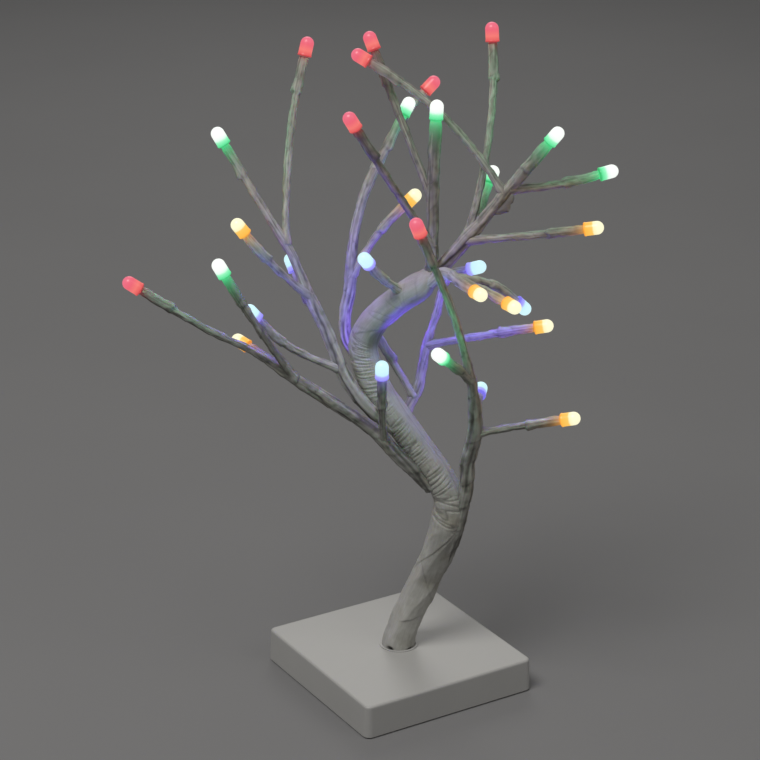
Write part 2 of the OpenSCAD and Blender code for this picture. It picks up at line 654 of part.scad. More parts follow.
module base_leads() {
    x = tab_end_x + fit_gap + lead_d / 2;
    color("firebrick") for (side = [-1, 1]) {
        lead([
            [side * x, cell_y(side < 0 ? 0 : cell_count - 1), cell_z],
            [side * (x + 4), bay_y1 + 4, cell_z - 2],
            [side * (x + 2), 14, lead_end_z],
            [side * (board_l / 2 - 5), board_y0 - 4, lead_end_z],
            [side * (board_l / 2 - 7), board_y0 + 4, lead_end_z]]);
        lead([
            [side * core_lead_x, trunk_y, core_lead_z],
            [side * core_lead_x, trunk_y + 3, core_lead_z - 1.5],
            [side * (core_lead_x + 1), board_y0 - 6, lead_end_z],
            [side * (core_lead_x + 1), board_y0 + 2, lead_end_z]]);
    }
}

module trunk_clamp() {
    color("gainsboro") difference() {
        union() {
            translate([0, trunk_y, clamp_floor_z - clamp_floor_t])
                cylinder(r = clamp_r, h = top_under - clamp_floor_z + clamp_floor_t);
            hull() at_clamp_screws() translate([0, 0, ear_z0]) cylinder(r = ear_r, h = clamp_ear_t, $fn = 32);
        }
        translate([0, trunk_y, clamp_floor_z]) cylinder(r = clamp_bore_r, h = top_t + trunk_foot);
        translate([0, trunk_y, 0]) cylinder(r = trunk_core_r + 2 * fit_gap, h = base_h);
        at_clamp_screws() cylinder(d = clamp_screw_d + 2 * fit_gap, h = base_h);
    }
}

module clamp_screws() {
    color("silver") at_clamp_screws() translate([0, 0, ear_z0 - fit_gap]) rotate_extrude() polygon([
        [0, -clamp_head_h], [clamp_screw_head_d / 2, -clamp_head_h], [clamp_screw_head_d / 2, 0],
        [clamp_screw_d / 2, 0], [clamp_screw_d / 2, clamp_screw_l], [0, clamp_screw_l]]);
}

// Trunk
module trunk_core() {
    foot = [[0, 0, -trunk_foot - clamp_floor_t]];
    color("tan") in_tree()
        rod(concat(foot, trunk_path), [for (k = [0 : len(trunk_path)]) trunk_core_r], branch_sides);
}

module trunk_wrap() {
    color(paper_white) in_tree() sleeve(trunk_path, trunk_radii, trunk_bores, trunk_sides);
}

module trunk_twig_wrap() {
    r = trunk_twig_run[1];
    color(paper_white) in_tree() sleeve(trunk_twig_run[0], r, bores(r), branch_sides);
}

module trunk_twig_wiring() {
    color("tan") {
        in_tree() rod(trunk_twig_run[0], wires(trunk_twig_run[1]), branch_sides);
        leds([lamp_at(trunk_twig_run[0])]);
    }
}

module trunk_twig_cap() {
    color(CAP_TINTS[3]) lamp_caps([lamp_at(trunk_twig_run[0])]);
}

// Boughs: the leading twig's root is half a ball round the pivot
dome_angles = [80, 45];
module bough_wrap(b) {
    path = leader_path(b);
    radii = leader_radii(b);
    ball_r = b[1] + ball_more;
    dir = unit(path[1] - path[0]);
    dome = [for (a = dome_angles) path[0] - ball_r * sin(a) * dir];
    dome_radii = [for (a = concat(dome_angles, [0])) ball_r * cos(a)];
    outer = concat(dome_radii, [for (i = [1 : len(path) - 1]) radii[i]]);
    color(paper_white) in_tree() {
        sleeve(concat(dome, path), outer, bores(outer), branch_sides, len(dome) + 1);
        for (w = b[5]) {
            run = bough_twig_run(b, w);
            sleeve(run[0], run[1], bores(run[1]), branch_sides);
        }
    }
}

module bough_wiring(b) {
    path = leader_path(b);
    radii = wires(leader_radii(b));
    last = len(path) - 1;
    start = path[1] + wire_gap * unit(path[2] - path[1]);
    color("tan") {
        in_tree() {
            rod(concat([start], [for (i = [2 : last]) path[i]]), [for (i = [1 : last]) radii[i]],
                branch_sides);
            for (w = b[5]) {
                run = bough_twig_run(b, w);
                rod(run[0], wires(run[1]), branch_sides);
            }
        }
        for (c = COLOURS) leds(lamps_of(b, c));
    }
}

module bough_caps(b, colour) {
    color(CAP_TINTS[search([colour], COLOURS)[0]]) lamp_caps(lamps_of(b, colour));
}

base_housing();
base_plate();
plate_screws();
battery_door();
battery_cells();
battery_springs();
battery_contacts();
circuit_board();
board_parts();
switch_case();
switch_knob();
base_leads();
trunk_clamp();
clamp_screws();
trunk_core();
trunk_wrap();
trunk_twig_wrap();
trunk_twig_wiring();
trunk_twig_cap();
for (b = BOUGHS) {
    bough_wrap(b);
    bough_wiring(b);
}
for (s = CAP_SETS)
    bough_caps(s[0], s[1]);
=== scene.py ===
# Artificial LED bonsai tree: paper-wound wire tree with coloured lamp caps on a square battery base.
import json
import math

import bmesh
import bpy
from mathutils import Matrix, Vector, noise
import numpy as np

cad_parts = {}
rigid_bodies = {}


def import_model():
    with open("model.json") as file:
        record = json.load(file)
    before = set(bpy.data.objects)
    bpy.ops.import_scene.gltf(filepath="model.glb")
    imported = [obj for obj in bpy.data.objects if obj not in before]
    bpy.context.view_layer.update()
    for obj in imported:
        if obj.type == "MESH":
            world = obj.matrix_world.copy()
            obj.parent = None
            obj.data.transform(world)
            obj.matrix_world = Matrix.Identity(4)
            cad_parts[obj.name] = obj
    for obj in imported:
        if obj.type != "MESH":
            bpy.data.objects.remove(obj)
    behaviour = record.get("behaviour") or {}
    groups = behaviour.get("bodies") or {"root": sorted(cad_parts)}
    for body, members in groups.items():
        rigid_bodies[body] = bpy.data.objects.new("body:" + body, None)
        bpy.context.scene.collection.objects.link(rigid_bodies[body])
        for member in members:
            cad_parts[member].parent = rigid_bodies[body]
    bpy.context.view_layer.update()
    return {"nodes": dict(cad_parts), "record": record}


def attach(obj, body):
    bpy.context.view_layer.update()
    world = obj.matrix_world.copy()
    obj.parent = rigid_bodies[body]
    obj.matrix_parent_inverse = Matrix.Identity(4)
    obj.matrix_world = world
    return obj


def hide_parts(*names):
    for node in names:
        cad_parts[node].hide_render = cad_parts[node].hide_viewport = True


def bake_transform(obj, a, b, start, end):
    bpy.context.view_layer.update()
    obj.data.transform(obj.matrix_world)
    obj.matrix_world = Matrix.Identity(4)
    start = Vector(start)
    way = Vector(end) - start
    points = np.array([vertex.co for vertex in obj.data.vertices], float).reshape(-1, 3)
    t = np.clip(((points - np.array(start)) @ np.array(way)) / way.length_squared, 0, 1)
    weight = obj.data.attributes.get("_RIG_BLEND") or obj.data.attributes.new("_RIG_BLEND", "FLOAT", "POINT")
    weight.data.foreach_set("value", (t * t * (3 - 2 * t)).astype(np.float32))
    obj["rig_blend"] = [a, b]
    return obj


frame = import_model()

# Tree frame: millimetres to the right, to the back and up from the trunk's root on the base's top
TREE_TURN = math.radians(-32)
BASE_TOP = 23.0
MM = 0.001
TREE = Matrix.Translation((0, 0, BASE_TOP)) @ Matrix.Rotation(TREE_TURN, 4, "Z")
TREE_TO_WORLD = Matrix.Scale(MM, 4) @ TREE

# Sizes of the wound paper and the lamps, in millimetres
TRUNK_ROOT_R, TRUNK_TOP_R = 11.0, 9.0
TWIG_R, HOLDER_R, HOLDER_L, HOLDER_MORE = 2.4, 3.2, 23.0, 4.0
BALL_MORE, ROOT_GAP, FORK_FADE = 0.3, 0.3, 1.0
CAP_L, CAP_SEAT = 12.6, 0.3

# Rings of side twigs and leading twigs: pitch, sides, pitch of the tape, and the direction from which
# the first ring starts
RING_PITCH, TWIG_SIDES, LEADER_SIDES, TWIG_TAPE, LEADER_TAPE = 0.9, 28, 36, 15.0, 18.0
FIRST_SIDE = (0.2, -1, 0.1)
# Share of a twig's curve by which its parameter runs on for the holder's last stretch
RUN_ON = 0.1
# Darkest share of grey in the paper
DARKEST = 0.9

TRUNK = [
    (0, 0, -11), (0, 0, 0), (2, 0, 10), (9, 0, 30), (22, -2, 62), (30, -4, 93), (30, -4, 115),
    (6, -1, 152), (-15, 3, 182), (-25, 6, 208), (-21, 5, 226), (-6, 2, 243), (12, 0, 257), (20, 0, 266),
]

# Boughs: root radius, seat on the trunk, leading twig, its lamp, and side twigs as
# (lamp, station, bend, end)
BOUGHS = {
    "right_low": (5.0, ("side", 6, (12, -5, 0)), [
        (43, -14, 140), (47, -20, 165), (45, -28, 193), (41, -36, 214), (30, -52, 257), (11, -67, 308)],
        "red", [
        ("green", 3.6, (34, -45, 217), (27, -55, 226)),
        ("blue", 2.5, (47, -13, 177), (49, -4, 180)),
        ("amber", 1.9, (77, -25, 171), (97, -32, 177))]),
    "left_low": (5.0, ("side", 6.9, (-20, -18, -10)), [
        (-19, -13, 162), (-43, -17, 181), (-65, -20, 197), (-95, -25, 220), (-124, -28, 236),
        (-160, -31, 260)],
        "red", [
        ("green", 3.1, (-90, -38, 238), (-108, -44, 273)),
        ("amber", 2.8, (-80, 0, 201), (-96, 8, 208)),
        ("blue", 0.6, (-13, -27, 180), (-13, -31, 201))]),
    "left_mid": (4.6, ("side", 8.1, (-20, -15, -4)), [
        (-38, -2, 197), (-48, 5, 221), (-60, 11, 244), (-71, 15, 270), (-84, 17, 292), (-111, 16, 339)],
        "green", [
        ("red", 4.35, (-77, 37, 338), (-65, 50, 387)),
        ("amber", 3, (-83, -1, 267), (-97, -4, 287)),
        ("blue", 1.1, (-74, -6, 212), (-89, -9, 232)),
        ("blue", 2.5, (-64, 23, 240), (-68, 27, 251))]),
    "bend_two": (3.9, ("side", 9.5, (-20, 9, 1)), [
        (-37, 16, 231), (-34, 21, 248), (-32, 27, 277), (-25, 36, 306), (-12, 45, 332), (-3, 52, 349)],
        "green", [
        ("amber", 2.2, (-19, 23, 283), (-2, 27, 298)),
        ("red", 4.5, (-6, 63, 346), (10, 68, 361))]),
    "crown_left": (3.8, ("end", 6.5, 0), [
        (18, 1, 287), (18, 4, 308), (18, 6, 330), (19, 8, 358)], "green", [
        ("red", 0.7, (-9, -12, 327), (-28, -19, 360)),
        ("red", 2.1, (-2, 32, 354), (-18, 44, 393))]),
    "crown_right": (4.8, ("end", -2.8, 4.5), [
        (38, 5, 284), (49, 6, 297), (64, 8, 316), (75, 7, 330), (87, 4, 346)], "green", [
        ("green", 3.1, (96, 16, 317), (119, 20, 323)),
        ("red", 2.9, (34, 20, 362), (-19, 29, 391)),
        ("red", 1.2, (59, 38, 346), (55, 47, 398)),
        ("green", 2, (48, 33, 296), (53, 38, 308)),
        ("amber", 1.05, (79, -5, 291), (108, -10, 297))]),
    "crown_front": (3.4, ("end", -2.3, -6.3), [
        (37, -14, 264), (52, -17, 258), (61, -26, 256)], "amber", [
        ("amber", 0.5, (35, -25, 266), (41, -34, 266)),
        ("blue", 0.8, (57, -3, 262), (69, 1, 248))]),
    "back": (3.7, ("side", 7.35, (6, 14, 2)), [
        (11, 18, 180), (16, 25, 206), (22, 28, 226), (25, 27, 242), (29, 24, 254), (38, 20, 259)],
        "blue", [
        ("amber", 2, (53, 21, 215), (81, 17, 221)),
        ("blue", 0.6, (-6, 21, 196), (-16, 24, 212))]),
}
TRUNK_TWIG = ("blue", 11.4, (-16, -15, 267), (-20, -24, 276))
TRUNK_TWIG_SEED = 97

# How a bough's strands come up inside the trunk and leave it, in the place of its seat
ROOTS = {
    "right_low": [(25, -3, 56), (32, -5, 72), (37, -6, 88), (40, -8, 104), (43, -11, 122)],
    "left_low": [(20, -6, 118), (14, -8, 126), (6, -10, 135), (-3, -11, 144)],
    "left_mid": [(-5, -3, 158), (-13, -5, 166), (-21, -6, 174), (-29, -5, 183)],
    "bend_two": [(-20, 4, 196), (-28, 7, 203), (-34, 10, 211), (-37, 12, 219)],
    "back": [(6, 3, 146), (5, 7, 153), (4, 11, 160), (4, 13, 166)],
    "crown_left": [(12, 0, 254), (16, 0, 263), (18, 0, 274)],
    "crown_right": [(12, 1, 254), (19, 3, 262), (26, 4, 269)],
    "crown_front": [(12, -2, 254), (18, -5, 261), (25, -6, 267)],
}

# Light that each lamp throws: its colour, its power in watts, the painted lamp glow on the paper next to its
# cap, and how far along the paper that painted glow reaches in millimetres
LAMP_LIGHT = {
    "red": ((1.0, 0.12, 0.14), 0.015, (0.16, 0.02, 0.025), 2.5),
    "green": ((0.13, 1.0, 0.4), 0.035, (0.06, 0.6, 0.22), 5.5),
    "amber": ((1.0, 0.5, 0.1), 0.015, (0.5, 0.22, 0.04), 4.5),
    "blue": ((0.17, 0.07, 1.0), 0.07, (0.13, 0.1, 0.4), 3.0),
}
# The lamp that shines as a beam up past the trunk, the beam's start, closer to the trunk than the lamp,
# its cone and the softness of its edge
BEAM, BEAM_START = ("left_low", "blue"), Vector((14, -6, 212))
BEAM_CONE, BEAM_EDGE = math.radians(150), 0.5
# Where in its cap a lamp's light sits, as a share of the cap's length, and its size in metres
LIGHT_SHARE, LIGHT_SIZE = 0.6, 0.004
# Lamps with another power on all the paper, and lamps with more light on some boughs alone
OTHER_POWER = {("right_low", "blue"): 0.02, ("back", "blue"): 0.045, BEAM: 0.13}
MORE_LIGHT = {
    ("left_low", "blue"): (("bend_two",), 0.23),
    ("back", "blue"): (("back",), 0.15),
    ("right_low", "blue"): (("right_low", "back"), 0.09),
    ("right_low", "green"): (("right_low",), 0.025),
    ("right_low", "red"): (("right_low",), 0.06),
}

# Painted shade that greys each bough's paper, and the least radius of a leading twig that has more paper than
# the wire needs
BOUGH_PAINTED_SHADE = {
    "crown_left": 0.48, "crown_right": 0.22, "right_low": 0.16, "left_low": 0.24,
    "left_mid": 0.08, "bend_two": 0.06,
}
LEAST_R = {"crown_left": 3.8, "crown_right": 3.8}

# The tail of torn paper on a bough: where it starts and ends on its side, its tip, and its curl and
# thickness in millimetres
FLAP_BOUGH, FLAP_CURL, FLAP_THICK = "crown_right", 1.6, 0.3
FLAP_START, FLAP_END, FLAP_TIP = Vector((54, 6, 301)), Vector((68, 6, 317)), Vector((66, 3, 304))


# Shader maths: a socket that adds a Math node for each operation on it
class Value:
    def __init__(self, finish, socket):
        self.finish, self.socket = finish, socket

    def maths(self, operation, *others):
        inputs = dict(enumerate((self, *others)))
        return self.finish.node("ShaderNodeMath", {"operation": operation}, inputs)[0]

    def __add__(self, other):
        return self.maths("ADD", other)

    def __mul__(self, other):
        return self.maths("MULTIPLY", other)

    def __sub__(self, other):
        return self.maths("SUBTRACT", other)

    __radd__, __rmul__ = __add__, __mul__

    def held(self, low, high):
        return self.maths("MAXIMUM", low).maths("MINIMUM", high)


class Finish:
    def __init__(self, name, **fixed):
        self.material = bpy.data.materials.new(name)
        self.material.use_nodes = True
        self.tree = self.material.node_tree
        self.shader = self.tree.nodes["Principled BSDF"]
        for socket, value in fixed.items():
            self.shader.inputs[socket.replace("_", " ")].default_value = value

    def node(self, kind, settings=(), sockets=()):
        made = self.tree.nodes.new(kind)
        for key, value in dict(settings).items():
            if key == "stops":
                ramp = made.color_ramp.elements
                while len(ramp) < len(value):
                    ramp.new(1.0)
                for stop, (place, colour) in zip(ramp, value):
                    stop.position, stop.color = place, (*colour, 1.0)
            else:
                setattr(made, key, value)
        for key, value in dict(sockets).items():
            if isinstance(value, Value):
                self.tree.links.new(value.socket, made.inputs[key])
            else:
                made.inputs[key].default_value = value
        return Outputs(self, made)

    def place(self):
        return self.node("ShaderNodeTexCoord")["Object"]

    def attribute(self, name, output="Fac"):
        return self.node("ShaderNodeAttribute", {"attribute_name": name})[output]

    def stretched(self, vector, scale):
        return self.node("ShaderNodeMapping", (), {"Vector": vector, "Scale": scale})["Vector"]

    def cloud(self, vector, scale, detail=3.0):
        sockets = {"Vector": vector, "Scale": scale, "Detail": detail, "Roughness": 0.55}
        return self.node("ShaderNodeTexNoise", (), sockets)[0]

    def ramp(self, value, *stops):
        return self.node("ShaderNodeValToRGB", {"stops": stops}, {"Fac": value})["Color"]

    def blend(self, share, a, b, way="MIX"):
        def colour(c):
            return c if isinstance(c, Value) else (*c, 1.0)
        return self.node("ShaderNodeMix", {"data_type": "RGBA", "blend_type": way},
                         {0: share, 6: colour(a), 7: colour(b)})[2]

    def bump(self, height, distance, strength):
        sockets = {"Height": height, "Distance": distance, "Strength": strength}
        return self.node("ShaderNodeBump", (), sockets)["Normal"]

    def feed(self, **sockets):
        for key, value in sockets.items():
            self.tree.links.new(value.socket, self.shader.inputs[key.replace("_", " ")])
        return self.material


class Outputs:
    def __init__(self, finish, made):
        self.finish, self.made = finish, made

    def __getitem__(self, key):
        return Value(self.finish, self.made.outputs[key])


# Finishes
def paper_finish():
    f = Finish("wound_paper", Emission_Strength=1.0, Specular_IOR_Level=0.3)
    laid = f.attribute("laid", "Vector")
    crease = f.attribute("crease")
    blotch = f.cloud(f.place(), 45.0)
    fibre = f.cloud(f.stretched(laid, (900.0, 900.0, 90.0)), 1.0, 4.0)
    crepe = f.cloud(f.stretched(laid, (120.0, 120.0, 1100.0)), 1.0, 3.0)
    sheet = f.ramp(
        blotch, (0.32, (0.37, 0.365, 0.335)), (0.5, (0.46, 0.455, 0.435)), (0.7, (0.4, 0.385, 0.335)))
    strands = f.ramp(fibre, (0.35, (0.45, 0.44, 0.41)), (0.65, (0.95, 0.95, 0.93)))
    streaked = f.blend(0.25, sheet, strands, "MULTIPLY")
    # The attribute's painted shade and the paper's uneven tone darken it towards dark grey
    shaded = f.blend(crease.held(0.0, 1.0), streaked, (0.085, 0.084, 0.078))
    height = fibre * 0.6 + crepe * 0.4
    # The paper's emission is painted lamp glow next to each cap
    return f.feed(
        Base_Color=shaded, Roughness=(0.62 + 0.3 * blotch).held(0.0, 1.0),
        Emission_Color=f.attribute("glow", "Color"), Normal=f.bump(height, 0.00035, 0.8))


# Colours of a lit cap from its foot (0) to its tip (1)
LAMP_STOPS = {
    "red": (
        (0.0, (0.42, 0.035, 0.04)), (0.1, (0.76, 0.11, 0.11)), (0.3, (0.88, 0.19, 0.17)),
        (0.6, (0.82, 0.13, 0.18)), (1.0, (0.8, 0.16, 0.24))),
    "green": (
        (0.0, (0.03, 0.42, 0.12)), (0.1, (0.12, 0.78, 0.33)), (0.28, (0.3, 0.92, 0.52)),
        (0.4, (0.8, 1.0, 0.88)), (0.55, (0.95, 1.0, 0.95))),
    "amber": (
        (0.0, (0.8, 0.26, 0.03)), (0.1, (1.0, 0.5, 0.07)), (0.44, (0.98, 0.58, 0.12)),
        (0.52, (1.0, 0.9, 0.52)), (0.7, (1.0, 0.96, 0.66))),
    "blue": (
        (0.0, (0.2, 0.17, 0.8)), (0.1, (0.34, 0.32, 0.97)), (0.24, (0.4, 0.4, 1.0)),
        (0.36, (0.58, 0.88, 1.0)), (0.6, (0.64, 0.93, 1.0))),
}


def lamp_finish(colour):
    f = Finish(f"frosted_{colour}_cap", Emission_Strength=1.0, Coat_Weight=0.1)
    along = f.attribute("along")
    frost = f.cloud(f.place(), 900.0, 2.0)
    lit = f.ramp((along + (frost - 0.5) * 0.06).held(0.0, 1.0), *LAMP_STOPS[colour])
    return f.feed(
        Base_Color=f.blend(0.9, lit, (0.0, 0.0, 0.0)), Emission_Color=lit,
        Roughness=0.3 + 0.15 * frost, Normal=f.bump(frost, 0.0001, 0.4))


def moulded_finish(name, colour, roughness):
    f = Finish(name)
    wide = f.cloud(f.place(), 22.0)
    fine = f.cloud(f.place(), 1400.0, 2.0)
    return f.feed(
        Base_Color=f.blend(wide, tuple(c * 0.88 for c in colour), colour),
        Roughness=(roughness + 0.16 * (wide - 0.5)).held(0.05, 1.0), Normal=f.bump(fine, 0.00006, 0.5))


def metal_finish(name, colour, roughness):
    f = Finish(name, Metallic=1.0)
    lines = f.cloud(f.stretched(f.place(), (300.0, 300.0, 2400.0)), 1.0, 3.0)
    return f.feed(
        Base_Color=f.blend(lines, tuple(c * 0.8 for c in colour), colour),
        Roughness=roughness + 0.2 * (lines - 0.5), Normal=f.bump(lines, 0.00003, 0.5))


# Curves
def spline(points, s):
    i = min(int(s), len(points) - 2)
    t = s - i
    a, b = Vector(points[max(i - 1, 0)]), Vector(points[i])
    c, d = Vector(points[i + 1]), Vector(points[min(i + 2, len(points) - 1)])
    return b + 0.5 * t * (c - a + t * (2 * a - 5 * b + 4 * c - d + t * (3 * (b - c) + d - a)))


def bent(a, b, c, t):
    return (1 - t) ** 2 * Vector(a) + 2 * t * (1 - t) * Vector(b) + t * t * Vector(c)


def evenly(curve, end, pitch):
    """Points of curve(0) to curve(end) about one pitch apart, with their distance from the start."""
    steps = 600
    fine = [curve(end * k / steps) for k in range(steps + 1)]
    far = [0.0]
    for p, q in zip(fine, fine[1:]):
        far.append(far[-1] + (q - p).length)
    count = max(2, round(far[-1] / pitch))
    points, k = [], 0
    for i in range(count + 1):
        goal = far[-1] * i / count
        while k < steps - 1 and far[k + 1] < goal:
            k += 1
        share = (goal - far[k]) / max(far[k + 1] - far[k], 1e-9)
        points.append((goal, fine[k].lerp(fine[k + 1], min(share, 1.0))))
    return points


def squared(v, t):
    return (v - v.dot(t) * t).normalized()


def framed(points, first_side):
    """Adds the tangent and two cross directions, carried along without twist from first_side."""
    rings, side = [], Vector(first_side)
    for i, (s, p) in enumerate(points):
        t = (points[min(i + 1, len(points) - 1)][1] - points[max(i - 1, 0)][1]).normalized()
        side = squared(side, t)
        rings.append((s, p, t, side, t.cross(side)))
    return rings


def rough(*place):
    return noise.noise(Vector(place))


def eased(x, low, high):
    x = max(0.0, min(1.0, (x - low) / (high - low)))
    return x * x * (3 - 2 * x)


def sharp(x, width):
    return math.exp(-(x / width) ** 2)


def off_angle(a, b):
    return (a - b + math.pi) % (2 * math.pi) - math.pi


# Wound paper: a tube along rings, whose skin(distance, angle, middle) gives radius, painted shade with tone,
# and painted lamp glow
def wind(bm, rings, sides, skin):
    laid = bm.verts.layers.float_vector["laid"]
    crease = bm.verts.layers.float["crease"]
    glow = bm.verts.layers.float_color["glow"]
    grid = bmesh.ops.create_grid(bm, x_segments=sides, y_segments=len(rings) - 1, size=0.5)["verts"]
    seam = []
    for v in grid:
        column, row = round((v.co.x + 0.5) * sides), round((v.co.y + 0.5) * (len(rings) - 1))
        if column in (0, sides):
            seam.append(v)
        s, p, t, side, up = rings[row]
        angle = 2 * math.pi * (column % sides) / sides - math.pi
        radius, v[crease], v[glow] = skin(s, angle, p)
        v[laid] = Vector((radius * math.cos(angle), radius * math.sin(angle), s)) * MM
        v.co = TREE_TO_WORLD @ (p + radius * (math.cos(angle) * side + math.sin(angle) * up))
    bmesh.ops.remove_doubles(bm, verts=seam, dist=0.001 * MM)
    bmesh.ops.edgeloop_fill(bm, edges=[e for e in bm.edges if e.is_boundary])


def paper_mesh():
    bm = bmesh.new()
    bm.verts.layers.float_vector.new("laid")
    bm.verts.layers.float.new("crease")
    bm.verts.layers.float_color.new("glow")
    return bm


def piece(name, bm, material, slot, *nodes):
    bmesh.ops.recalc_face_normals(bm, faces=bm.faces)
    mesh = bpy.data.meshes.new(name)
    bm.to_mesh(mesh)
    bm.free()
    for face in mesh.polygons:
        face.use_smooth = True
    mesh.materials.append(material)
    made = bpy.data.objects.new(name, mesh)
    bpy.context.scene.collection.objects.link(made)
    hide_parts(*nodes)
    return made


def tape_step(s, angle, pitch, hand, seed):
    """Share of a tape's width at this place, 0 at the edge that lies on top."""
    turn = s / pitch + hand * angle / (2 * math.pi) + 0.16 * rough(s * 0.06, math.cos(angle), seed)
    return turn - math.floor(turn)


def twig_skin(length, body_r, colour, seed, painted_bough_shade, pitch=TWIG_TAPE, grooves=()):
    """Skin of a twig: slanting tape edges, wrinkles, grooves between strands, and the holder's wrap, with
    painted shade in its hollows and painted lamp glow by the cap.
    """
    hand = 1 if seed % 2 else -1
    tail = 2.4 * seed
    _, _, glow, reach = LAMP_LIGHT[colour]

    def skin(s, angle, p):
        c, q = math.cos(angle), math.sin(angle)
        rest = length - s
        hem = HOLDER_L + 1.8 * rough(c * 1.6, q * 1.6, seed + 0.3)
        body = body_r(s)
        r = body + max(0.0, HOLDER_R - 0.15 - body) * (1 - eased(rest, hem - 0.7, hem + 0.5))
        lift = 0.15 + 1.1 * sharp(off_angle(angle, tail), 0.8)
        r += lift * eased(rest, hem - 9, hem - 0.5) * (1 - eased(rest, hem - 0.4, hem + 0.7))
        r *= 1 - 0.1 * (1 - eased(rest, 0.0, 4.0))
        f = tape_step(s, angle, pitch, hand, seed)
        edge = 0.36 * (1 - f) - 0.18
        wrinkle = 0.2 * rough(c * 2.6 + seed, q * 2.6, s * 0.05)
        wrinkle += 0.14 * rough(c * 6, q * 6 + seed, s * 0.09)
        wrinkle += 0.26 * rough(c * 1.9, q * 1.9 + seed, s * 0.28)
        lump = 0.4 * rough(p.x * 0.13, p.y * 0.13, p.z * 0.13 + seed)
        # Painted shade along the tape's raised edge
        dark = 0.32 * sharp(f, 0.05) * eased(rough(s * 0.15, seed, angle), -0.3, 0.4)
        # Painted shade in the wrinkles' hollows and under the holder's lifted tail
        dark += max(0.0, -1.5 * wrinkle) + 0.4 * lift * sharp(rest - hem - 0.9, 0.8)
        # Painted shade greys each bough by its own amount and every twig a little; the streaks are the paper's
        # uneven tone
        dark += painted_bough_shade + 0.16 + 0.5 * rough(c * 3.8 + seed, q * 3.8, s * 0.03)
        dark += 0.3 * rough(c * 1.6 + seed, q * 1.6, s * 0.16)
        # Darker paper next to the cap, under its painted lamp glow
        dark += max(glow) * math.exp(-rest / reach / 1.7)
        dip = 0.0
        for until, at, depth in grooves:
            fade = eased(until - s, 0.0, 9.0) * eased(rough(s * 0.07, at, seed), -0.35, 0.2)
            bottom = at + 0.018 * (s - until) + 0.35 * rough(s * 0.04, at, seed)
            near = sharp(off_angle(angle, bottom), 0.2)
            dip += depth * fade * near
            # Painted shade in the groove
            dark += 0.6 * fade * near
        # Painted lamp glow on the paper, fading away from the cap
        painted_glow_fade = math.exp(-rest / reach)
        radius = max(0.4, r + edge + wrinkle + lump - dip * r)
        return radius, max(0.0, min(dark, DARKEST)), (*(painted_glow_fade * x for x in glow), 1.0)
    return skin


# Trunk
TRUNK_SIDES, TRUNK_PITCH = 96, 0.42
TRUNK_SPAN = len(TRUNK) - 1


def trunk_r_at(s):
    return TRUNK_ROOT_R + (TRUNK_TOP_R - TRUNK_ROOT_R) * s / TRUNK_SPAN


# Folds across the paper: from and to along the trunk, spacing, how far they wander, middle and half
# width in degrees from the front, lean in mm per radian, and depth
FOLDS = [
    (107, 131, 3.6, 0.8, 5, 105, 2.5, 0.5), (134, 152, 1.9, 0.55, -30, 84, -2.0, 0.55),
    (157, 175, 1.7, 0.55, -32, 72, -1.5, 0.5), (179, 192, 1.8, 0.5, -24, 66, -2.5, 0.5),
    (196, 212, 1.7, 0.55, -34, 78, -1.5, 0.5), (213, 253, 1.8, 0.6, -40, 88, 2.0, 0.45),
    (256, 284, 5.0, 0.4, -20, 60, -4.0, 0.16), (282, 306, 4.4, 0.4, -30, 60, 4.0, 0.16),
    (104, 134, 2.8, 0.3, 175, 75, -2.0, 0.35), (140, 168, 2.2, 0.3, 180, 75, 2.0, 0.3),
    (176, 204, 2.4, 0.3, 170, 70, -2.0, 0.3), (214, 256, 2.0, 0.35, 165, 70, -2.0, 0.35),
    (264, 300, 3.0, 0.3, 180, 75, 2.0, 0.2),
]

# Edges of overlapping tape: place on the front, lean in mm per radian, from and to in degrees, height
OVERLAPS = [
    (35, 7.0, -40, 70, 0.45), (66, -13.0, -70, 120, 0.5), (95, 17.0, -100, 110, 0.55),
    (262, 9.0, -60, 120, 0.5), (46, 8.0, 85, 180, 0.5), (70, -9.0, -180, -80, 0.5),
    (96, 8.0, 85, 180, 0.5),
]

# Gaps at the foot, where the paper stands off the hole's edge: middle and half width in degrees, and
# depth. They start at the base's top and fade out within their height.
FOOT_GAPS = [(-33, 11, 2.6), (42, 8, 2.2)]
FOOT_S, FOOT_GAP_H = 11.0, 2.5

# Where the paper starts, in mm from the trunk's lower end under the base's top, and the lengths of its
# taper and its round end
PAPER_START, END_TAPER, END_ROUND = 2.0, 16, 5
# Stretches along the trunk over which its paper changes: the end of the flattened part, the start of
# the long seam, and the starts of the crumpled part, the painted top shade and the painted underside shade
LOW_END, SEAM_START = (96, 112), (120, 140)
CRUMPLED_START, TOP_PAINTED_SHADE_START, UNDERSIDE_PAINTED_SHADE_START = (245, 262), (238, 256), (236, 254)
# The shaded side of the lower bend, from and to
SHADE_START, SHADE_END = (56, 68), (96, 108)

# The lower trunk's paper is flattened into faces that slant round it
FACES, FACE_SLANT, FACE_SHARE = 5, 0.03, 0.35


def flattened(angle, s):
    """Change of a round section's radius, as a share, that makes it a polygon."""
    part = 2 * math.pi / FACES
    off = (angle - FACE_SLANT * s + 0.6 * rough(s * 0.03, math.cos(angle), 2.0)) % part - part / 2
    return math.cos(part / 2) / math.cos(off) - 1


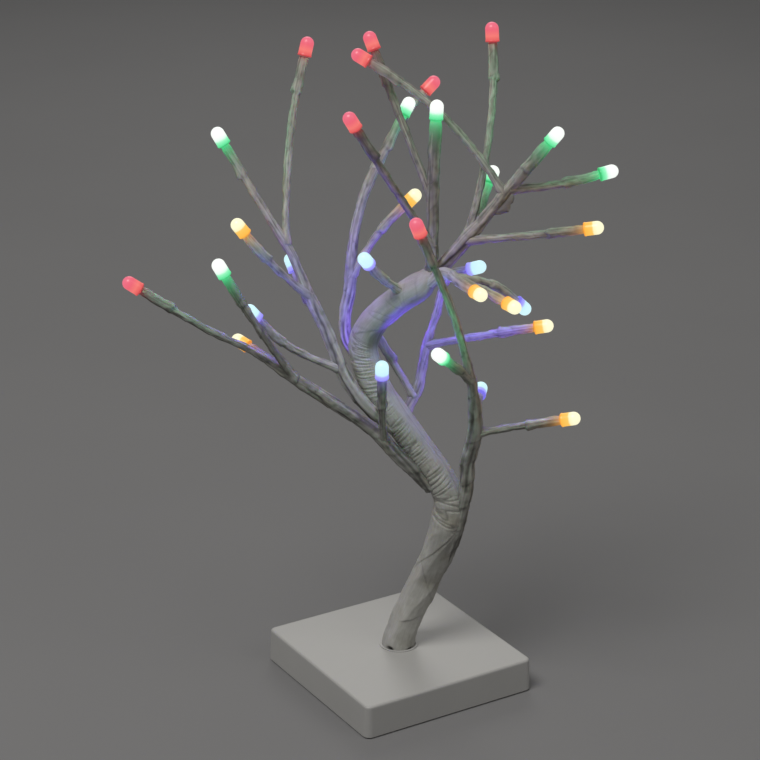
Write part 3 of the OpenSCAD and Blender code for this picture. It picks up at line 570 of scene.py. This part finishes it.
def trunk_skin(length):
    def skin(s, angle, p):
        low_part = 1 - eased(s, *LOW_END)
        r = TRUNK_ROOT_R + (TRUNK_TOP_R - TRUNK_ROOT_R) * s / length
        r *= 1 - 0.32 * eased(s, length - END_TAPER, length)
        r *= math.sqrt(max(0.02, 1 - eased(s, length - END_ROUND, length + 0.4)))
        r *= 1 + FACE_SHARE * low_part * eased(s, FOOT_S, FOOT_S + 12) * flattened(angle, s)
        c, q, turn = math.cos(angle), math.sin(angle), math.degrees(angle)
        more = dark = 0.0
        for first, last, spacing, wander, middle, half, lean, depth in FOLDS:
            off = off_angle(angle, math.radians(middle))
            at = s + lean * off
            side = 1 - eased(abs(off), math.radians(half * 0.6), math.radians(half))
            held = side * eased(at, first - 2, first + 1) * (1 - eased(at, last - 1, last + 2))
            if held:
                ply = abs(rough(at / spacing, wander * c + first, wander * q))
                more += depth * held * (min(1.0, ply / 0.35) - 0.7)
                # Painted shade in the folds' valleys
                dark += 1.1 * depth * held * max(0.0, 1 - ply / 0.13)
        for front, lean, low, high, step in OVERLAPS:
            over = s - front - lean * angle - 1.5 * rough(c * 1.5, q * 1.5, front)
            if abs(over) > 30 or not low < turn < high:
                continue
            ends = sharp(max(0.0, abs(turn - (low + high) / 2) - (high - low) / 2 + 25), 14)
            more += ends * step * eased(over, -0.3, 0.3) * math.exp(-max(0.0, over) / 12)
            # Painted shade under the overlapping tape's edge
            dark += 0.14 * ends * sharp(over + 0.4, 0.8)
        crumple = abs(rough(c * 1.1 + s * 0.025, q * 1.1, s * 0.045)) - 0.25
        more += (0.8 * low_part + 0.3 + 0.9 * eased(s, *CRUMPLED_START)) * crumple
        more += 0.22 * rough(c * 3, q * 3, s * 0.12) + 0.1 * rough(c * 9, q * 9, s * 0.4)
        seam_at = math.radians(62 + 24 * rough(s * 0.02, 5.0, 1.0))
        seam = sharp(off_angle(angle, seam_at), 0.035) * eased(s, *SEAM_START)
        more -= 0.3 * seam
        # Painted shade in the seam's groove and over the top of the trunk
        dark += 0.3 * seam + 0.22 * eased(s, *TOP_PAINTED_SHADE_START)
        # Painted shade on the underside of the trunk's top
        below = eased(turn + 20 * rough(s * 0.1, 7.0, 1.0), 8, 26) * (1 - eased(turn, 130, 170))
        dark += 0.42 * eased(s, *UNDERSIDE_PAINTED_SHADE_START) * below
        shaded = eased(turn, -55, -28) * (1 - eased(turn, 110, 160))
        dark += 0.34 * eased(s, *SHADE_START) * (1 - eased(s, *SHADE_END)) * shaded
        for middle, half, depth in FOOT_GAPS:
            across = sharp(off_angle(angle, math.radians(middle)), math.radians(half))
            gap = across * (1 - eased(s, FOOT_S, FOOT_S + FOOT_GAP_H))
            more -= depth * gap
            # Painted shade in the gaps at the foot
            dark += gap
        return max(0.2, r + more), min(dark, DARKEST), (0.0, 0.0, 0.0, 1.0)
    return skin


PAPER = paper_finish()


def make_trunk():
    points = evenly(lambda s: spline(TRUNK, s), TRUNK_SPAN, TRUNK_PITCH)
    points = [(s, p) for s, p in points if s > PAPER_START]
    bm = paper_mesh()
    wind(bm, framed(points, (0, -1, 0)), TRUNK_SIDES, trunk_skin(points[-1][0]))
    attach(piece("trunk_paper", bm, PAPER, "paper_wrap", "trunk_wrap"), "base")


# Boughs
def pivot_of(r, seat):
    reach = r + BALL_MORE + ROOT_GAP
    if seat[0] == "side":
        return spline(TRUNK, seat[1]) + Vector(seat[2]).normalized() * (trunk_r_at(seat[1]) + reach)
    end = Vector(TRUNK[-1])
    out = (end - Vector(TRUNK[-2])).normalized()
    return end + out * reach + seat[1] * Vector((-out.z, 0, out.x)) + Vector((0, seat[2], 0))


# Grooves between strands: angle to each side of the twig that leaves there, and depth as a share of
# the radius
GROOVE_OFF, GROOVE_DEPTH = 0.85, 0.2

# Lamps found while the twigs are wound: body, colour, foot and direction
LAMPS = []


def carried_on(curve, end, back):
    """A curve that goes straight on for a holder's last stretch, and its lamp's foot and direction."""
    tip = curve(end)
    toward = (tip - curve(end - back)).normalized()

    def longer(t):
        return curve(t) if t <= end else tip + toward * HOLDER_MORE * (t - end) / (RUN_ON * end)
    return longer, tip + toward * HOLDER_MORE, toward


def add_twig(bm, start, twig, seed, carrier_r, body):
    colour, _, bend, end = twig
    span = (Vector(bend) - start).length + (Vector(end) - Vector(bend)).length
    curve, foot, toward = carried_on(
        lambda t: bent(start, bend, end, t), 1.0, 0.45 * min(0.7, (HOLDER_L - HOLDER_MORE) / span))
    points = evenly(curve, 1 + RUN_ON, RING_PITCH)

    def body_r(s):
        return TWIG_R * min(1.5, 1 + 0.55 * math.exp(-max(0.0, s - carrier_r * 0.7) / 4.5))
    skin = twig_skin(points[-1][0], body_r, colour, seed, BOUGH_PAINTED_SHADE.get(body, 0.0))
    wind(bm, framed(points, FIRST_SIDE), TWIG_SIDES, skin)
    LAMPS.append((body, colour, foot, toward))


def add_flap(bm):
    """A torn tail of paper that hangs from the side of a bough."""
    sheet = bmesh.ops.create_grid(bm, x_segments=10, y_segments=6, size=0.5)["verts"]
    crease, glow = bm.verts.layers.float["crease"], bm.verts.layers.float_color["glow"]
    out = FLAP_TIP - (FLAP_START + FLAP_END) / 2
    curl = out.cross(FLAP_END - FLAP_START).normalized()
    for v in sheet:
        along, across = v.co.x + 0.5, v.co.y + 0.5
        torn = math.sin(math.pi * along ** 1.3) ** 0.8 * (0.85 + 0.3 * rough(along * 5, 1.0, 2.0))
        place = FLAP_START.lerp(FLAP_END, along) + out * across * torn
        v.co = TREE_TO_WORLD @ (place + curl * FLAP_CURL * math.sin(3 * across) * torn)
        # The flap's paper is darkened with painted shade
        v[crease], v[glow] = 0.8 + 0.2 * rough(along * 4, across * 4, 3.0), (0.0, 0.0, 0.0, 1.0)
    faces = list({f for v in sheet for f in v.link_faces})
    bmesh.ops.solidify(bm, geom=faces, thickness=FLAP_THICK * MM)


def make_bough(number, name):
    r, seat, leader, colour, twigs = BOUGHS[name]
    pivot, route = pivot_of(r, seat), [*ROOTS[name], *leader]
    first, last = len(ROOTS[name]) - 1, len(route) - 1.0
    curve, foot, toward = carried_on(lambda s: spline(route, s), last, 0.5)
    points = evenly(curve, (1 + RUN_ON) * last, RING_PITCH)

    def reach(station):
        goal = curve(station)
        return min(points, key=lambda sp: (sp[1] - goal).length)[0]
    forks = [reach(first + station) for _, station, _, _ in twigs]
    fades = [reach(min(first + station + FORK_FADE, last)) for _, station, _, _ in twigs]

    def body_r(s):
        strands = sum(1 - eased(s, fork, max(fade, fork + 1)) for fork, fade in zip(forks, fades))
        return max(LEAST_R.get(name, 0.0), TWIG_R + (r - TWIG_R) * strands / len(twigs))
    rings = framed(points, FIRST_SIDE)
    grooves = []
    for (_, _, bend, _), fork in zip(twigs, forks):
        _, p, t, side, up = min(rings, key=lambda ring: abs(ring[0] - fork))
        out = squared(Vector(bend) - p, t)
        at = math.atan2(out.dot(up), out.dot(side))
        grooves += [(fork, at - GROOVE_OFF, GROOVE_DEPTH), (fork, at + GROOVE_OFF, GROOVE_DEPTH)]
    length, painted_bough_shade = points[-1][0], BOUGH_PAINTED_SHADE.get(name, 0.0)
    bm = paper_mesh()
    wind(bm, rings, LEADER_SIDES, twig_skin(length, body_r, colour, number, painted_bough_shade, LEADER_TAPE, grooves))
    LAMPS.append((name, colour, foot, toward))
    for k, (twig, fork) in enumerate(zip(twigs, forks)):
        add_twig(bm, curve(first + twig[1]), twig, 11 * number + k + 1, body_r(fork), name)
    if name == FLAP_BOUGH:
        add_flap(bm)
    made = piece(f"{name}_paper", bm, PAPER, "paper_wrap", f"{name}_wrap")
    along = (curve(first + 0.3) - pivot).normalized()
    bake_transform(made, "base", name, TREE_TO_WORLD @ (pivot - 5 * along), TREE_TO_WORLD @ (pivot + 8 * along))


def make_trunk_twig():
    bm = paper_mesh()
    add_twig(bm, spline(TRUNK, TRUNK_TWIG[1]), TRUNK_TWIG, TRUNK_TWIG_SEED, TRUNK_TOP_R, "base")
    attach(piece("trunk_twig_paper", bm, PAPER, "paper_wrap", "trunk_twig_wrap"), "base")


# Lamp caps: distance from the foot and radius, in millimetres, of the flange, the straight side and
# the round end
CAP_R, CAP_SIDES, DOME_STEPS = 4.3, 32, 7
FLANGE = [(0.0, 0.0), (0.0, 3.4), (0.08, 4.2), (0.3, 4.46), (0.9, 4.5), (1.15, 4.42), (1.4, 4.32)]
STRAIGHT = [(2.2, CAP_R), (4.0, CAP_R), (6.2, CAP_R)]


def on_dome(step):
    angle = math.pi / 2 * step / DOME_STEPS
    return CAP_L - CAP_R + CAP_R * math.sin(angle), CAP_R * math.cos(angle)


CAP_PROFILE = [*FLANGE, *STRAIGHT, *(on_dome(step) for step in range(DOME_STEPS + 1))]


def add_cap(bm, foot, toward):
    along = bm.verts.layers.float["along"]
    turn = toward.to_track_quat("Z", "Y").to_matrix().to_4x4()
    seated = Matrix.Translation(foot + toward * CAP_SEAT) @ turn
    made_before = set(bm.verts)
    verts = [bm.verts.new((radius, 0, height)) for height, radius in CAP_PROFILE]
    edges = [bm.edges.new(pair) for pair in zip(verts, verts[1:])]
    bmesh.ops.spin(
        bm, geom=verts + edges, cent=(0, 0, 0), axis=(0, 0, 1), dvec=(0, 0, 0), angle=2 * math.pi,
        steps=CAP_SIDES, use_merge=True, use_duplicate=False)
    bmesh.ops.remove_doubles(bm, verts=[v for v in bm.verts if v not in made_before], dist=0.01)
    for v in bm.verts:
        if v not in made_before:
            v[along] = v.co.z / CAP_L
            v.co = TREE_TO_WORLD @ seated @ v.co


def make_caps():
    finishes = {colour: lamp_finish(colour) for colour in LAMP_LIGHT}
    for body in ("base", *BOUGHS):
        for colour in LAMP_LIGHT:
            mine = [lamp[2:] for lamp in LAMPS if lamp[:2] == (body, colour)]
            if not mine:
                continue
            bm = bmesh.new()
            bm.verts.layers.float.new("along")
            for foot, toward in mine:
                add_cap(bm, foot, toward)
            stem = "trunk_twig" if body == "base" else f"{body}_{colour}"
            node = "trunk_twig_cap" if body == "base" else f"{stem}_caps"
            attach(piece(f"{stem}_lamps", bm, finishes[colour], f"{colour}_cap", node), body)


# Finishes of the carried-over solids by material slot: maker, name, colour and roughness
SOLID_FINISHES = {
    "base_plastic": (moulded_finish, "white_satin_plastic", (0.45, 0.445, 0.435), 0.42),
    "grey_plastic": (moulded_finish, "grey_plastic", (0.42, 0.42, 0.43), 0.55),
    "black_plastic": (moulded_finish, "black_plastic", (0.03, 0.03, 0.032), 0.45),
    "steel": (metal_finish, "plain_steel", (0.62, 0.62, 0.63), 0.34),
    "tree_wire": (metal_finish, "tinned_wire", (0.6, 0.56, 0.48), 0.4),
    "board": (moulded_finish, "green_board", (0.03, 0.14, 0.06), 0.4),
    "cell_jacket": (moulded_finish, "cell_jacket", (0.28, 0.2, 0.06), 0.35),
    "lead": (moulded_finish, "red_lead", (0.35, 0.03, 0.03), 0.4),
}


def dress_solids():
    worn = {slot: maker(*look) for slot, (maker, *look) in SOLID_FINISHES.items()}
    for entry in frame["record"]["subparts"]:
        finish = worn.get(entry["material_slot"])
        if finish:
            mesh = frame["nodes"][entry["node"]].data
            mesh.materials.clear()
            mesh.materials.append(finish)


# Stage and light: the floor's half width in metres, the room's light, and soft boxes as
# (place, size, watts)
FLOOR_HALF = 8.0
ROOM_COLOUR, ROOM_POWER = (0.82, 0.82, 0.8, 1.0), 0.2
SOFT_COLOUR, SOFT_AIM = (1.0, 0.985, 0.95), Vector((0.0, 0.0, 0.2))
SOFT_BOXES = {
    "key": (Vector((-1.1, -0.4, 2.2)), 1.2, 32.0),
    "fill": (Vector((0.9, -1.5, 1.7)), 1.6, 4.4),
    "rim": (Vector((0.9, 1.6, 1.4)), 1.2, 6.0),
}


def make_stage():
    f = Finish("pale_floor", Roughness=0.8)
    grain = f.cloud(f.place(), 3.0)
    f.feed(Base_Color=f.blend(grain, (0.19, 0.188, 0.193), (0.212, 0.21, 0.214)))
    bm = bmesh.new()
    bmesh.ops.create_grid(bm, x_segments=2, y_segments=2, size=FLOOR_HALF)
    mesh = bpy.data.meshes.new("floor")
    bm.to_mesh(mesh)
    bm.free()
    mesh.materials.append(f.material)
    floor = bpy.data.objects.new("floor", mesh)
    bpy.context.scene.collection.objects.link(floor)
    world = bpy.data.worlds.new("studio")
    world.use_nodes = True
    room = world.node_tree.nodes["Background"].inputs
    room["Color"].default_value, room["Strength"].default_value = ROOM_COLOUR, ROOM_POWER
    bpy.context.scene.world = world


def soft_box(name, place, size, power):
    light = bpy.data.lights.new(name, "AREA")
    light.shape, light.size, light.energy, light.color = "DISK", size, power, SOFT_COLOUR
    made = bpy.data.objects.new(name, light)
    made.location = place
    made.rotation_euler = (SOFT_AIM - place).to_track_quat("-Z", "Y").to_euler()
    bpy.context.scene.collection.objects.link(made)


def light_tree():
    for name, (place, size, power) in SOFT_BOXES.items():
        soft_box(name, place, size, power)
    papers = [o for o in bpy.context.scene.objects if o.name.endswith("_paper")]
    lit = lit_group("lit_by_lamps", papers)
    for k, (body, colour, foot, toward) in enumerate(LAMPS):
        tint, power, _, _ = LAMP_LIGHT[colour]
        place, lamp = foot + toward * LIGHT_SHARE * CAP_L, (body, colour)
        kind, start = ("SPOT", BEAM_START) if lamp == BEAM else ("POINT", place)
        lamp_light(f"lamp_light_{k}", kind, start, toward, tint, OTHER_POWER.get(lamp, power), lit)
        if lamp in MORE_LIGHT:
            boughs, more = MORE_LIGHT[lamp]
            chosen = [o for o in papers if o.name.removesuffix("_paper") in boughs]
            alone = lit_group(f"lit_by_lamp_{k}", chosen)
            lamp_light(f"lamp_more_{k}", "POINT", place, toward, tint, more, alone)


def lit_group(name, objects):
    group = bpy.data.collections.new(name)
    for o in objects:
        group.objects.link(o)
    return group


def lamp_light(name, kind, place, toward, tint, power, group):
    light = bpy.data.lights.new(name, kind)
    light.color, light.energy, light.shadow_soft_size = tint, power, LIGHT_SIZE
    if kind == "SPOT":
        light.spot_size, light.spot_blend = BEAM_CONE, BEAM_EDGE
    made = bpy.data.objects.new(name, light)
    made.location = TREE_TO_WORLD @ place
    made.rotation_euler = (TREE.to_3x3() @ toward).to_track_quat("-Z", "Y").to_euler()
    made.visible_camera = False
    made.light_linking.receiver_collection = group
    made.light_linking.blocker_collection = group
    bpy.context.scene.collection.objects.link(made)


# Camera at the photograph's place: its focal length and the picture's width in pixels, the width of its
# sensor in millimetres, its right and up directions, and where it stands in metres
FOCAL_PIXELS, PICTURE_PIXELS, SENSOR_W = 2400.0, 760.0, 36.0
CAMERA_RIGHT, CAMERA_UP = Vector((0.8498, -0.5270, 0.0084)), Vector((0.1891, 0.3198, 0.9284))
CAMERA_PLACE = (-0.7731, -1.2105, 0.7887)


def make_camera():
    camera = bpy.data.cameras.new("camera")
    camera.sensor_width = SENSOR_W
    camera.lens = FOCAL_PIXELS / PICTURE_PIXELS * SENSOR_W
    made = bpy.data.objects.new("camera", camera)
    turn = Matrix((CAMERA_RIGHT, CAMERA_UP, CAMERA_RIGHT.cross(CAMERA_UP))).transposed()
    made.matrix_world = Matrix.Translation(CAMERA_PLACE) @ turn.to_4x4()
    bpy.context.scene.collection.objects.link(made)
    bpy.context.scene.camera = made
    bpy.context.scene.view_settings.view_transform = "Standard"


make_camera()
make_trunk()
for number, name in enumerate(BOUGHS):
    make_bough(number, name)
make_trunk_twig()
make_caps()
dress_solids()
make_stage()
light_tree()
